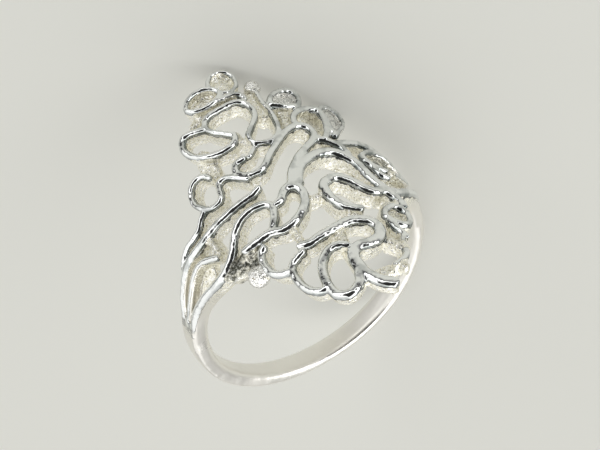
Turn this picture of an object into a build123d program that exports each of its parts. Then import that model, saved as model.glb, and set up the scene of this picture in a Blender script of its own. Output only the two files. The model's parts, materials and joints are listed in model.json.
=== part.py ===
from build123d import *

import os
from collections import namedtuple

import numpy as np
from scipy.spatial import ConvexHull, Delaunay, cKDTree

# A cast silver finger ring in one piece: a plain band whose two shoulders fan
# out into an openwork head of curling strands, pointed at both ends along the
# finger. It lies on its side, on the head's back tip, the cups
# on the head's right and the band's back rim.
#
# The ring is modelled unrolled: along is the distance round the finger from
# the middle of the head, across is the distance along the finger towards the
# front, and height is the distance outwards from the finger hole.

# Finger hole and plain band, mm. The band is thin and rounded on the right, and
# between two angles from the head it grows thicker and squarer towards the left.
BORE_RADIUS = 8.65
SHANK_WIDTH = 1.8
SHANK_THICKNESS = 0.9
SHANK_RIM = 0.45
LEFT_SHANK_THICKNESS = 1.3
LEFT_SHANK_RIM = 1.05
GROWTH_START = 165.0
GROWTH_END = 245.0

# Angle from the head where the shoulders have narrowed to the plain band
SHOULDER_END = 94.0

# Openwork head: depth of its walls, half its length along the finger, the
# angle that a share of 1 spans round the finger, and the angles between which
# its depth eases to the band's
HEAD_THICKNESS = 1.8
HEAD_REACH = 12.0
HEAD_SPAN = 80.0
HEAD_SLOPE_START = 46.0
HEAD_SLOPE_END = 80.0

# The walls' feet leave the finger hole's surface towards the front tip
FRONT_LIFT = 0.55
LIFT_START = 7.0
LIFT_END = 10.5

# Strands and cast drops
STRAND_WIDTH = 0.74
CREST_ROUNDING = 0.26
DROP_RADIUS = 0.82
JOINT_SOFTNESS = 0.07
WALL_SLOPE = 2.0

# Fineness of the facets
SAMPLE_STEP = 0.12
GRID_STEP = 0.14
OUTLINE_STEP = 0.28
CREST_STEP = 0.38
FLANK_SHARE = 0.6
SHANK_STEP = 6.0

CREST_RADIUS = BORE_RADIUS + HEAD_THICKNESS
MEET_ANGLE = SHOULDER_END + 10.0
HEAD_UP_LEAST = 0.1

# Each strand runs through points (round, along the finger) given as shares of
# HEAD_SPAN and HEAD_REACH. start and end are its width there, as shares of
# STRAND_WIDTH, and height is its share of HEAD_THICKNESS.
Strand = namedtuple("Strand", "name start end height closed points")

STRANDS = [
    Strand("keyhole", 0.70, 0.70, 1.0, False, [
        (-0.062, -0.556), (-0.133, -0.655), (-0.146, -0.705), (-0.128, -0.757), (-0.085, -0.775),
        (-0.020, -0.774), (0.045, -0.772), (0.085, -0.748), (0.103, -0.700), (0.106, -0.645),
        (0.085, -0.595), (0.040, -0.545), (0.005, -0.505)]),
    Strand("pouch", 0.62, 0.62, 0.95, False, [
        (0.005, -0.508), (-0.006, -0.460), (0.014, -0.414), (0.062, -0.391), (0.112, -0.403),
        (0.152, -0.450), (0.174, -0.526), (0.180, -0.606), (0.176, -0.676), (0.192, -0.826)]),
    Strand("tip cup", 0.64, 0.64, 1.0, True, [
        (-0.165, -0.905), (-0.140, -0.950), (-0.085, -0.974), (-0.030, -0.965), (0.010, -0.930),
        (0.022, -0.882), (-0.020, -0.845), (-0.085, -0.838), (-0.140, -0.862)]),
    Strand("rear cup", 0.54, 0.54, 0.95, True, [
        (0.030, -0.890), (0.005, -0.940), (0.006, -0.992), (0.035, -1.030), (0.080, -1.040),
        (0.122, -1.018), (0.141, -0.962), (0.122, -0.892), (0.078, -0.862)]),
    Strand("tip bar", 0.68, 0.68, 0.95, False, [
        (-0.010, -0.840), (0.040, -0.837), (0.085, -0.830), (0.112, -0.805), (0.113, -0.770)]),
    Strand("teardrop", 0.76, 0.76, 1.0, False, [
        (-0.163, -0.712), (-0.245, -0.755), (-0.283, -0.740), (-0.303, -0.695), (-0.298, -0.640),
        (-0.273, -0.580), (-0.230, -0.533), (-0.175, -0.500), (-0.115, -0.490), (-0.070, -0.510),
        (-0.058, -0.545)]),
    Strand("left ring", 0.70, 0.70, 1.0, False, [
        (-0.290, -0.405), (-0.305, -0.440), (-0.345, -0.462), (-0.390, -0.448), (-0.420, -0.405),
        (-0.432, -0.350), (-0.415, -0.285), (-0.380, -0.235), (-0.335, -0.220), (-0.302, -0.240),
        (-0.288, -0.285), (-0.270, -0.325), (-0.238, -0.330), (-0.205, -0.305), (-0.145, -0.225)]),
    Strand("long hook", 0.78, 0.90, 1.0, False, [
        (-0.100, -0.362), (-0.140, -0.362), (-0.163, -0.330), (-0.160, -0.280), (-0.128, -0.238),
        (-0.080, -0.222), (-0.030, -0.240), (0.020, -0.290), (0.075, -0.335), (0.130, -0.378),
        (0.185, -0.415), (0.240, -0.430), (0.283, -0.412), (0.303, -0.370), (0.297, -0.320),
        (0.260, -0.275), (0.200, -0.235), (0.145, -0.197), (0.095, -0.150), (0.052, -0.100),
        (0.025, -0.050), (0.008, -0.020)]),
    Strand("hook link", 0.60, 0.60, 0.85, False, [
        (-0.095, -0.375), (-0.060, -0.368), (-0.025, -0.395), (0.005, -0.420)]),
    Strand("great arc", 1.05, 1.05, 1.0, False, [
        (0.050, -0.010), (0.070, -0.060), (0.110, -0.115), (0.170, -0.150), (0.250, -0.170),
        (0.320, -0.155), (0.370, -0.105), (0.402, -0.040), (0.413, 0.030), (0.418, 0.100),
        (0.432, 0.165), (0.460, 0.230)]),
    Strand("right curl", 0.66, 0.66, 1.0, False, [
        (0.475, -0.100), (0.468, -0.050), (0.485, 0.000), (0.490, 0.050), (0.497, 0.090),
        (0.530, 0.110)]),
    Strand("right leaf", 0.62, 0.62, 1.0, True, [
        (0.475, -0.085), (0.530, -0.135), (0.600, -0.145), (0.680, -0.110), (0.750, -0.050),
        (0.780, 0.010), (0.740, 0.055), (0.660, 0.062), (0.570, 0.050), (0.500, 0.000)]),
    Strand("right link", 0.80, 0.80, 0.95, False, [
        (0.302, -0.296), (0.337, -0.266), (0.372, -0.231), (0.397, -0.186), (0.405, -0.120)]),
    Strand("hairpin", 1.05, 1.05, 1.0, False, [
        (0.218, 0.345), (0.178, 0.318), (0.150, 0.270), (0.133, 0.200), (0.135, 0.130),
        (0.150, 0.075), (0.190, 0.052), (0.235, 0.053), (0.272, 0.085), (0.305, 0.140),
        (0.335, 0.200), (0.375, 0.232), (0.425, 0.232), (0.462, 0.270), (0.478, 0.330),
        (0.478, 0.370)]),
    Strand("right ring", 0.76, 0.76, 1.0, True, [
        (0.318, 0.470), (0.330, 0.420), (0.365, 0.390), (0.408, 0.382), (0.441, 0.410),
        (0.450, 0.460), (0.432, 0.520), (0.393, 0.550), (0.353, 0.530)]),
    Strand("side stalk", 0.80, 0.80, 1.0, False, [
        (0.318, 0.500), (0.320, 0.550), (0.330, 0.600), (0.335, 0.645)]),
    Strand("front rim", 0.72, 0.72, 0.95, False, [
        (0.325, 0.640), (0.290, 0.696), (0.279, 0.756), (0.252, 0.796), (0.212, 0.820),
        (0.175, 0.832)]),
    Strand("swan", 1.05, 1.40, 1.0, False, [
        (-0.145, 0.400), (-0.100, 0.418), (-0.040, 0.412), (0.040, 0.410), (0.120, 0.405),
        (0.180, 0.425), (0.220, 0.460), (0.238, 0.510), (0.225, 0.570), (0.185, 0.605),
        (0.130, 0.610), (0.080, 0.602), (0.040, 0.625), (0.020, 0.680), (0.016, 0.745),
        (0.020, 0.808), (0.040, 0.868), (0.068, 0.914), (0.098, 0.944)]),
    Strand("front loop", 0.90, 1.12, 1.0, False, [
        (0.030, 0.560), (0.005, 0.533), (-0.045, 0.528), (-0.095, 0.555), (-0.135, 0.610),
        (-0.157, 0.680), (-0.167, 0.750), (-0.160, 0.820), (-0.120, 0.868), (-0.070, 0.862),
        (-0.028, 0.830), (-0.005, 0.780)]),
    Strand("middle crescent", 0.86, 0.86, 1.0, False, [
        (-0.165, 0.440), (-0.205, 0.450), (-0.245, 0.475), (-0.265, 0.530), (-0.267, 0.600),
        (-0.255, 0.670), (-0.225, 0.725), (-0.190, 0.745), (-0.165, 0.740)]),
    Strand("left crescent", 0.86, 0.86, 1.0, False, [
        (-0.300, 0.245), (-0.325, 0.262), (-0.345, 0.310), (-0.350, 0.360), (-0.340, 0.420),
        (-0.310, 0.465), (-0.270, 0.490), (-0.262, 0.505)]),
    Strand("crook", 1.05, 0.95, 1.0, False, [
        (-0.370, 0.165), (-0.300, 0.177), (-0.240, 0.185), (-0.205, 0.203), (-0.170, 0.228),
        (-0.125, 0.232), (-0.070, 0.215), (-0.020, 0.178), (0.015, 0.130), (0.033, 0.070),
        (0.027, 0.020), (0.000, -0.017), (-0.040, -0.005), (-0.075, 0.035), (-0.100, 0.045)]),
    Strand("left front strand", 0.95, 0.85, 1.0, False, [
        (-1.240, 0.034), (-1.100, 0.036), (-0.960, 0.041), (-0.850, 0.058), (-0.720, 0.102),
        (-0.600, 0.145), (-0.522, 0.148),
        (-0.450, 0.113), (-0.400, 0.060), (-0.345, 0.002), (-0.280, -0.026), (-0.212, -0.024),
        (-0.160, 0.000), (-0.136, 0.045), (-0.156, 0.108), (-0.193, 0.160)]),
    Strand("left back strand", 0.90, 0.80, 1.0, False, [
        (-1.240, -0.036), (-1.120, -0.050), (-0.990, -0.068), (-0.875, -0.100), (-0.760, -0.120),
        (-0.660, -0.133),
        (-0.550, -0.123), (-0.420, -0.122), (-0.280, -0.115), (-0.190, -0.108), (-0.135, -0.118)]),
    Strand("left vein", 0.76, 0.76, 0.95, False, [
        (-0.960, -0.020), (-0.860, -0.022), (-0.790, -0.030), (-0.718, -0.045), (-0.648, -0.053),
        (-0.593, -0.035),
        (-0.548, 0.000), (-0.520, 0.030)]),
    Strand("left spur", 0.66, 0.66, 0.95, False, [
        (-0.758, -0.135), (-0.688, -0.180), (-0.618, -0.202), (-0.558, -0.198), (-0.498, -0.205),
        (-0.463, -0.235), (-0.420, -0.262)]),
    Strand("right cup", 0.66, 0.66, 1.0, True, [
        (0.210, -0.655), (0.235, -0.710), (0.290, -0.740), (0.345, -0.745), (0.378, -0.710),
        (0.375, -0.650), (0.338, -0.592), (0.290, -0.595), (0.240, -0.620)]),
    Strand("scoop", 0.76, 0.76, 1.0, False, [
        (0.250, -0.460), (0.268, -0.505), (0.305, -0.540), (0.370, -0.555), (0.425, -0.548),
        (0.440, -0.505), (0.425, -0.440), (0.400, -0.375), (0.375, -0.320), (0.345, -0.280)]),
    Strand("bright leaf", 0.58, 0.58, 0.95, True, [
        (0.452, -0.535), (0.490, -0.578), (0.542, -0.560), (0.565, -0.505), (0.552, -0.436),
        (0.512, -0.380), (0.462, -0.335), (0.417, -0.296), (0.432, -0.376), (0.449, -0.456)]),
    Strand("right back strand", 0.80, 1.00, 0.9, False, [
        (0.380, -0.235), (0.480, -0.240), (0.600, -0.225), (0.720, -0.165), (0.840, -0.085),
        (0.950, -0.048), (1.080, -0.040), (1.240, -0.030)]),
    Strand("right front strand", 1.00, 1.05, 1.0, False, [
        (0.450, 0.240), (0.550, 0.235), (0.680, 0.190), (0.820, 0.110), (0.940, 0.060),
        (1.080, 0.036), (1.240, 0.028)]),
]

# Webs, bridges and the floors of the cups: broad, low and matte
WEBS = [
    Strand("drop stem", 1.40, 1.40, 0.70, False, [(0.150, -0.63), (0.157, -0.73), (0.188, -0.84)]),
    Strand("tip web", 1.00, 1.00, 0.65, False, [(-0.190, -0.81), (-0.110, -0.83), (0.100, -0.84)]),
    Strand("left web", 2.10, 2.10, 0.60, False, [(-0.255, -0.57), (-0.265, -0.51), (-0.262, -0.46)]),
    Strand("neck", 0.90, 0.90, 0.80, False, [(-0.045, -0.56), (-0.040, -0.50), (-0.006, -0.46)]),
    Strand("cup stem", 1.60, 1.60, 0.70, False, [(0.278, -0.64), (0.258, -0.57), (0.228, -0.46)]),
    Strand("drop seat", 1.60, 1.60, 0.85, False, [(-0.520, 0.18), (-0.450, 0.20), (-0.365, 0.17)]),
    Strand("seat foot", 1.30, 1.30, 0.75, False, [(-0.408, 0.30), (-0.394, 0.24), (-0.325, 0.24)]),
    Strand("front bridge", 0.90, 0.90, 0.80, False, [(-0.130, 0.22), (-0.124, 0.29), (-0.140, 0.40)]),
    Strand("hairpin bridge", 0.70, 0.70, 0.80, False, [(0.035, 0.12), (0.075, 0.125), (0.120, 0.12)]),
    Strand("swan web", 1.30, 1.30, 0.75, False, [(0.058, 0.42), (0.038, 0.53), (0.028, 0.65)]),
    Strand("tail web", 1.30, 1.30, 0.65, False, [(0.080, 0.82), (0.150, 0.82), (0.225, 0.84)]),
    Strand("hairpin web", 1.60, 1.60, 0.75, False, [(0.178, 0.31), (0.182, 0.34), (0.178, 0.39)]),
    Strand("ring link", 0.80, 0.80, 0.85, False, [(0.352, 0.390), (0.385, 0.345), (0.455, 0.340)]),
    Strand("left bridge", 0.90, 0.90, 0.85, False, [(-0.500, -0.12), (-0.494, -0.05), (-0.505, 0.02)]),
    Strand("left shoulder floor", 2.90, 2.10, 0.45, False, [
        (-0.660, -0.03), (-0.85, -0.025), (-1.14, -0.012)]),
    Strand("right shoulder floor", 3.60, 2.10, 0.45, False, [
        (0.640, 0.015), (0.85, 0.010), (1.14, 0.000)]),
    Strand("front rim web", 1.00, 1.00, 0.80, False, [(0.335, 0.62), (0.294, 0.67), (0.258, 0.63)]),
    Strand("tip cup floor", 2.20, 2.20, 0.62, False, [(-0.110, -0.905), (-0.070, -0.907), (-0.030, -0.905)]),
    Strand("rear cup floor", 2.00, 2.00, 0.74, False, [(0.073, -0.980), (0.076, -0.940), (0.080, -0.900)]),
    Strand("right cup floor", 2.00, 2.00, 0.78, False, [(0.270, -0.670), (0.295, -0.672), (0.320, -0.670)]),
    Strand("scoop floor", 2.20, 2.20, 0.60, False, [(0.340, -0.490), (0.358, -0.440), (0.350, -0.380)]),
    Strand("bright leaf floor", 1.90, 1.30, 0.84, False, [(0.505, -0.500), (0.490, -0.430), (0.455, -0.360)]),
    Strand("right leaf floor", 2.40, 2.20, 0.80, False, [(0.550, -0.040), (0.630, -0.040), (0.710, -0.010)]),
    Strand("right ring floor", 2.00, 2.00, 0.78, False, [(0.368, 0.455), (0.383, 0.468), (0.390, 0.485)]),
]

# Cast drops: round, along the finger, radius as a share of DROP_RADIUS, height
# as a share of HEAD_THICKNESS
Drop = namedtuple("Drop", "name round along size height")
DROPS = [
    Drop("left drop", -0.415, 0.335, 1.00, 1.10),
    Drop("back drop", 0.200, -0.850, 0.76, 1.05),
    Drop("side drop one", 0.252, 0.645, 0.45, 0.90),
    Drop("side drop two", 0.270, 0.700, 0.50, 1.00),
    Drop("side drop three", 0.295, 0.720, 0.45, 0.95),
    Drop("rim drop", 0.215, 0.862, 0.50, 0.95),
    Drop("shoulder drop", 0.515, 0.200, 0.60, 0.90),
    Drop("leaf drop one", 0.570, 0.072, 0.30, 1.05),
    Drop("leaf drop two", 0.600, 0.060, 0.26, 1.05),
]


def smooth_step(value):
    value = np.clip(value, 0.0, 1.0)
    return value * value * (3.0 - 2.0 * value)


def shank_sizes(angle):
    """The plain band's thickness and rim, at an angle from the head round to the right."""
    share = smooth_step((np.mod(angle, 360.0) - GROWTH_START) / (GROWTH_END - GROWTH_START))
    thickness = SHANK_THICKNESS + (LEFT_SHANK_THICKNESS - SHANK_THICKNESS) * share
    return thickness, SHANK_RIM + (LEFT_SHANK_RIM - SHANK_RIM) * share


def crest_height(along):
    """Height of a full strand: the head's depth, easing to the band's down the shoulders."""
    angle = np.degrees(along / CREST_RADIUS)
    thickness = shank_sizes(angle)[0]
    rise = smooth_step((HEAD_SLOPE_END - np.abs(angle)) / (HEAD_SLOPE_END - HEAD_SLOPE_START))
    return thickness + (HEAD_THICKNESS - thickness) * rise


def foot_height(across):
    """How far the walls' feet stand off the finger hole's surface."""
    return FRONT_LIFT * smooth_step((across - LIFT_START) / (LIFT_END - LIFT_START))


def place(shares):
    """Shares of the head to millimetres of the unrolled ring."""
    scale = (CREST_RADIUS * np.radians(HEAD_SPAN), HEAD_REACH)
    return np.asarray(shares, float) * scale


class Path:
    """Closely spaced samples of one centreline with half width, height and rim height."""

    def __init__(self, centre, half_width, height, rim):
        self.centre = np.asarray(centre, float)
        ones = np.ones(len(self.centre))
        self.half_width = half_width * ones
        self.height = height * ones
        self.rim = rim * ones
        self.tree = cKDTree(self.centre)

    def profile(self, points):
        """How far each point lies outside the path, and the path's height there."""
        distance, index = self.tree.query(points)
        width = self.half_width[index]
        round_off = np.sqrt(np.clip(1.0 - (distance / width) ** 2, 0.0, 1.0))
        height = self.rim[index] + (self.height[index] - self.rim[index]) * round_off
        gap = distance - width
        return gap, height - WALL_SLOPE * np.maximum(gap, 0.0)


def strand_path(strand, rim_share):
    corners = [tuple(point) for point in place(strand.points)]
    curve = Spline(*corners, periodic=strand.closed)
    count = max(3, int(curve.length / SAMPLE_STEP))
    steps = np.linspace(0.0, 1.0, count)
    centre = np.array([tuple(curve @ t)[:2] for t in steps])
    width = (strand.start + (strand.end - strand.start) * steps) * STRAND_WIDTH / 2
    height = strand.height * crest_height(centre[:, 0])
    return Path(centre, width, height, rim_share * height)


def band_paths():
    """The plain band where it meets each shoulder."""
    paths = []
    reach = CREST_RADIUS * np.radians(MEET_ANGLE + SHANK_STEP)
    for side in (-1, 1):
        along = np.arange(CREST_RADIUS * np.radians(SHOULDER_END - 14.0), reach, SAMPLE_STEP)
        centre = np.column_stack([side * along, np.zeros(len(along))])
        paths.append(Path(centre, SHANK_WIDTH / 2, *shank_sizes(side * MEET_ANGLE)))
    return paths


def all_paths():
    paths = [strand_path(strand, 1.0 - CREST_ROUNDING) for strand in STRANDS]
    paths += [strand_path(web, 0.8) for web in WEBS]
    for drop in DROPS:
        centre = place([(drop.round, drop.along)])
        height = drop.height * crest_height(centre[:, 0])
        paths.append(Path(centre, drop.size * DROP_RADIUS, height, 0.45 * height))
    return paths + band_paths()


class Casting:
    """The whole ring as a height over the unrolled finger, melted together at the joints."""

    def __init__(self, paths):
        self.paths = paths

    def outside(self, points):
        """Distance outside the metal, negative within it, with soft inner corners."""
        total = np.zeros(len(points))
        nearest = np.full(len(points), np.inf)
        for path in self.paths:
            gap, _ = path.profile(points)
            nearest = np.minimum(nearest, gap)
            total += np.exp(np.clip(-gap / JOINT_SOFTNESS, -60.0, 60.0))
        soft = -JOINT_SOFTNESS * np.log(np.maximum(total, 1e-25))
        return np.where(nearest > 1.0, nearest, soft)

    def height(self, points):
        best = np.zeros(len(points))
        for path in self.paths:
            best = np.maximum(best, path.profile(points)[1])
        return best


def outline_points(casting):
    """Points where the metal ends, found where the grid's lines cross its outline."""
    edge = CREST_RADIUS * np.radians(MEET_ANGLE)
    along = np.linspace(-edge, edge, int(2 * edge / GRID_STEP))
    limit = 1.1 * HEAD_REACH
    across = np.linspace(-limit, limit, int(2 * limit / GRID_STEP))
    grid = np.stack(np.meshgrid(along, across, indexing="ij"), -1)
    value = casting.outside(grid.reshape(-1, 2)).reshape(grid.shape[:2])
    found = []
    for axis in (0, 1):
        first = value[:-1, :] if axis == 0 else value[:, :-1]
        second = value[1:, :] if axis == 0 else value[:, 1:]
        start = grid[:-1, :] if axis == 0 else grid[:, :-1]
        stop = grid[1:, :] if axis == 0 else grid[:, 1:]
        crossing = (first < 0) != (second < 0)
        share = (first[crossing] / (first[crossing] - second[crossing]))[:, None]
        found.append(start[crossing] + share * (stop[crossing] - start[crossing]))
    return np.vstack(found)


def thin_out(chosen, candidates, spacing):
    """Adds the candidates that stay at least the spacing from all that was chosen before."""
    kept = [tuple(point) for point in chosen]
    cells = {}

    def cell(point):
        return int(np.floor(point[0] / spacing)), int(np.floor(point[1] / spacing))

    for point in kept:
        cells.setdefault(cell(point), []).append(point)
    for point in candidates:
        column, row = cell(point)
        near = [other for i in (-1, 0, 1) for j in (-1, 0, 1)
                for other in cells.get((column + i, row + j), [])]
        if all((point[0] - x) ** 2 + (point[1] - y) ** 2 >= spacing ** 2 for x, y in near):
            kept.append(tuple(point))
            cells.setdefault((column, row), []).append(tuple(point))
    return np.array(kept)


def band_section():
    """Places across the plain band where its section has a vertex."""
    return SHANK_WIDTH / 2 * np.array([-1.0, -0.6, 0.0, 0.6, 1.0])


def crest_points(casting):
    """Vertices along the crest of every path, the highest first."""
    stride = max(1, round(CREST_STEP / SAMPLE_STEP))
    centres = [path.centre[::stride] for path in casting.paths]
    heights = [path.height[::stride] for path in casting.paths]
    points, height = np.vstack(centres), np.concatenate(heights)
    hidden = casting.height(points) > height + 0.02
    rank = np.where(hidden, height - 10.0, height)
    return points[np.argsort(-rank, kind="stable")]


def flank_points(casting, share):
    """Vertices on both sides of every path, at a share of its half width."""
    found = []
    stride = max(1, round(CREST_STEP / SAMPLE_STEP))
    for path in casting.paths:
        centre, width = path.centre[::stride], path.half_width[::stride, None]
        if len(path.centre) == 1:
            turn = np.radians(np.arange(0, 360, 45))
            found.append(centre + share * width * np.column_stack([np.cos(turn), np.sin(turn)]))
            continue
        slope = np.gradient(path.centre, axis=0)[::stride]
        normal = np.column_stack([-slope[:, 1], slope[:, 0]])
        normal /= np.linalg.norm(normal, axis=1)[:, None] + 1e-9
        found += [centre + share * width * normal, centre - share * width * normal]
    return np.vstack(found)


def drop_pinches(faces):
    """Removes faces until every outline vertex has one face fan."""
    while True:
        edges = np.sort(np.vstack([faces[:, [0, 1]], faces[:, [1, 2]], faces[:, [2, 0]]]), axis=1)
        unique, count = np.unique(edges, axis=0, return_counts=True)
        ends, times = np.unique(unique[count == 1], return_counts=True)
        pinched = ends[times > 2]
        if len(pinched) == 0:
            return faces
        bad = np.zeros(len(faces), bool)
        for vertex in pinched:
            around = np.flatnonzero((faces == vertex).any(axis=1))
            bad[smallest_fan(faces, around, vertex)] = True
        faces = faces[~bad]


def smallest_fan(faces, around, vertex):
    """Of the faces round a pinched vertex, the fan with the fewest."""
    fans = []
    left = list(around)
    while left:
        fan = [left.pop()]
        grew = True
        while grew:
            rim = set(faces[fan].ravel()) - {vertex}
            joined = [face for face in left if rim & (set(faces[face]) - {vertex})]
            left = [face for face in left if face not in joined]
            fan += joined
            grew = bool(joined)
        fans.append(fan)
    return min(fans, key=len)


def head_surface(casting):
    """Vertices and faces of the unrolled head and shoulders, up to the plain band."""
    edge = CREST_RADIUS * np.radians(MEET_ANGLE)
    ends = np.array([(side * edge, across) for side in (-1, 1) for across in band_section()])

    def inside(candidates, margin, depth):
        near = np.abs(candidates[:, 0]) < edge - margin
        return candidates[near & (casting.outside(candidates) < depth)]

    points = thin_out(ends, inside(crest_points(casting), 0.5 * CREST_STEP, -0.14), 0.8 * CREST_STEP)
    outline = inside(outline_points(casting), 0.5 * OUTLINE_STEP, 1.0)
    outline = outline[np.argsort(outline[:, 0] + 0.37 * outline[:, 1])]
    points = np.vstack([points, thin_out(ends, outline, OUTLINE_STEP)[len(ends):]])
    for share, spacing in ((1.0, 0.75), (FLANK_SHARE, 0.75), (1.5, 0.85)):
        flanks = inside(flank_points(casting, share), 0.5 * CREST_STEP, -0.13)
        points = thin_out(points, flanks, spacing * OUTLINE_STEP)
    faces = Delaunay(points).simplices
    corner = points[faces]
    metal = casting.outside(corner.mean(axis=1)) < -0.01
    for first, second in ((0, 1), (1, 2), (2, 0)):
        middle = (corner[:, first] + corner[:, second]) / 2
        metal &= casting.outside(middle) < 0.06
    first, second = corner[:, 1] - corner[:, 0], corner[:, 2] - corner[:, 0]
    turn = first[:, 0] * second[:, 1] - first[:, 1] * second[:, 0]
    faces = np.where((turn < 0)[:, None], faces, faces[:, ::-1])
    return points, drop_pinches(faces[metal & (np.abs(turn) > 0.004)])


def roll_up(along, across, height):
    """Unrolled millimetres to the ring's own frame: side, up through the head, finger."""
    angle = np.asarray(along) / CREST_RADIUS
    radius = BORE_RADIUS + np.asarray(height)
    return np.column_stack([radius * np.sin(angle), radius * np.cos(angle), across])


def head_triangles(casting):
    points, faces = head_surface(casting)
    top = roll_up(points[:, 0], points[:, 1], np.maximum(casting.height(points), SHANK_RIM))
    floor = roll_up(points[:, 0], points[:, 1], foot_height(points[:, 1]))
    edge = CREST_RADIUS * np.radians(MEET_ANGLE)
    at_end = np.abs(np.abs(points[:, 0]) - edge) < 1e-6
    angle = np.degrees(points[at_end, 0] / CREST_RADIUS)
    top[at_end] = roll_up(points[at_end, 0], points[at_end, 1], band_height(points[at_end, 1], angle))
    triangles = [top[faces], floor[faces[:, ::-1]]]
    sides = np.vstack([faces[:, [0, 1]], faces[:, [1, 2]], faces[:, [2, 0]]])
    key = {tuple(side) for side in sides}
    for start, stop in sides:
        if (stop, start) in key or (at_end[start] and at_end[stop]):
            continue
        wall = [top[start], floor[start], floor[stop], top[stop]]
        triangles.append(np.array([[wall[0], wall[1], wall[2]], [wall[0], wall[2], wall[3]]]))
    return np.vstack(triangles)


def band_height(across, angle):
    """Outer surface of the band's section, from its two rims to the crown."""
    crown = np.sqrt(np.clip(1.0 - (across / (SHANK_WIDTH / 2)) ** 2, 0.0, 1.0))
    thickness, rim = shank_sizes(angle)
    return rim + (thickness - rim) * crown


def band_triangles():
    """The plain band, from one shoulder round under the finger to the other."""
    across = band_section()
    span = 360.0 - 2.0 * MEET_ANGLE
    angles = MEET_ANGLE + np.linspace(0.0, span, int(round(span / SHANK_STEP)) + 1)
    rings = []
    for angle in angles:
        along = np.full(len(across), CREST_RADIUS * np.radians(angle))
        outer = roll_up(along, across, band_height(across, angle))
        inner = roll_up(along, across, np.zeros(len(across)))
        rings.append(np.vstack([outer, inner[::-1]]))
    triangles = []
    for ring, following in zip(rings, rings[1:]):
        for start in range(len(ring)):
            stop = (start + 1) % len(ring)
            triangles.append([ring[start], following[stop], following[start]])
            triangles.append([ring[start], ring[stop], following[stop]])
    return np.array(triangles)


def centre_of_mass(triangles):
    origin = triangles.reshape(-1, 3).mean(axis=0)
    first, second, third = (triangles[:, i] - origin for i in range(3))
    volume = np.einsum("ij,ij->i", first, np.cross(second, third))
    middle = (triangles.sum(axis=1) + origin) / 4.0
    return (volume[:, None] * middle).sum(axis=0) / volume.sum()


def resting_side(points, mass_point):
    """Outward normal of the hull face that the ring lies on with its weight lowest.
    Only faces behind and under the head count, so that the head shows."""
    hull = ConvexHull(points)
    lowest, down = np.inf, None
    for corners, plane in zip(hull.simplices, hull.equations):
        if plane[1] > -HEAD_UP_LEAST or plane[2] > -HEAD_UP_LEAST:
            continue
        height = -(plane[:3] @ mass_point + plane[3])
        foot = mass_point + height * plane[:3]
        corner = points[corners]
        turn = [np.cross(corner[(i + 1) % 3] - corner[i], foot - corner[i]) @ plane[:3]
                for i in range(3)]
        stands = min(turn) >= 0.0 or max(turn) <= 0.0
        if stands and height < lowest:
            lowest, down = height, plane[:3]
    return down


def resting_frame(triangles):
    """Turns and moves the ring onto the side it rests on by itself, its head towards +Y."""
    points = np.unique(np.round(triangles.reshape(-1, 3), 6), axis=0)
    up = -resting_side(points, centre_of_mass(triangles))
    forward = np.array([0.0, 1.0, 0.0])
    forward = forward - (forward @ up) * up
    forward /= np.linalg.norm(forward)
    turn = np.vstack([np.cross(forward, up), forward, up])
    placed = points @ turn.T
    low, high = placed.min(axis=0), placed.max(axis=0)
    shift = np.array([(low[0] + high[0]) / 2, (low[1] + high[1]) / 2, low[2]])
    return turn, shift


def solid_of(triangles):
    faces = []
    for corners in triangles:
        wire = Wire.make_polygon([Vector(*corner) for corner in corners], close=True)
        faces.append(Face(wire))
    return Solid(Shell(faces))


def main():
    casting = Casting(all_paths())
    triangles = np.vstack([head_triangles(casting), band_triangles()])
    turn, shift = resting_frame(triangles)
    placed = triangles @ turn.T - shift
    print("triangles", len(placed), "box", np.round(np.ptp(placed.reshape(-1, 3), axis=0), 3))
    print("rest turn", np.round(turn, 5).tolist(), "shift", np.round(shift, 4).tolist())
    ring = solid_of(placed)
    ring.label = "ring"
    print("valid", ring.is_valid, "volume", round(ring.volume, 2))
    os.makedirs("parts", exist_ok=True)
    export_step(ring, "parts/ring.step")


main()
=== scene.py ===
import json
import math
from collections import namedtuple

import bmesh
import bpy
import numpy as np
from mathutils import Matrix, Vector


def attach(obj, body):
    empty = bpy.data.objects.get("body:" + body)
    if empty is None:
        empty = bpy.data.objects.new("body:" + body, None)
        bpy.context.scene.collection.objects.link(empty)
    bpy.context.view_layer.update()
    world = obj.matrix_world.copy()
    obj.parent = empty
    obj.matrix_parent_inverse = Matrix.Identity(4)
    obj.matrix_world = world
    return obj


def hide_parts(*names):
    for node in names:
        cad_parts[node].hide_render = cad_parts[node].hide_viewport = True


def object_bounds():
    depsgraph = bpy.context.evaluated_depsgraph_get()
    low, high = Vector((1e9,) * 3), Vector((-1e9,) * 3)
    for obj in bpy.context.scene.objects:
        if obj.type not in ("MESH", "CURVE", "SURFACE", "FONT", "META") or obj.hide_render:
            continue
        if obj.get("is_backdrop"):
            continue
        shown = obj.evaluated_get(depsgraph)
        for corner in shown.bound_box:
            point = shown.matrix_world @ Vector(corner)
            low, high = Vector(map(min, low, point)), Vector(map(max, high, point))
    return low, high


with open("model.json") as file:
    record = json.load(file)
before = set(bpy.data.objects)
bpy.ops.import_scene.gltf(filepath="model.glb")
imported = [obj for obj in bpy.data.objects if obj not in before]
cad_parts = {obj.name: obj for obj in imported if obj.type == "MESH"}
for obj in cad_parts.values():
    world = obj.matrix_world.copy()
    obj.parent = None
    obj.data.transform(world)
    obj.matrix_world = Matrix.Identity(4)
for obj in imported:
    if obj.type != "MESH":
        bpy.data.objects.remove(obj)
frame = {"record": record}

CAD_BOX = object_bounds()

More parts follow.
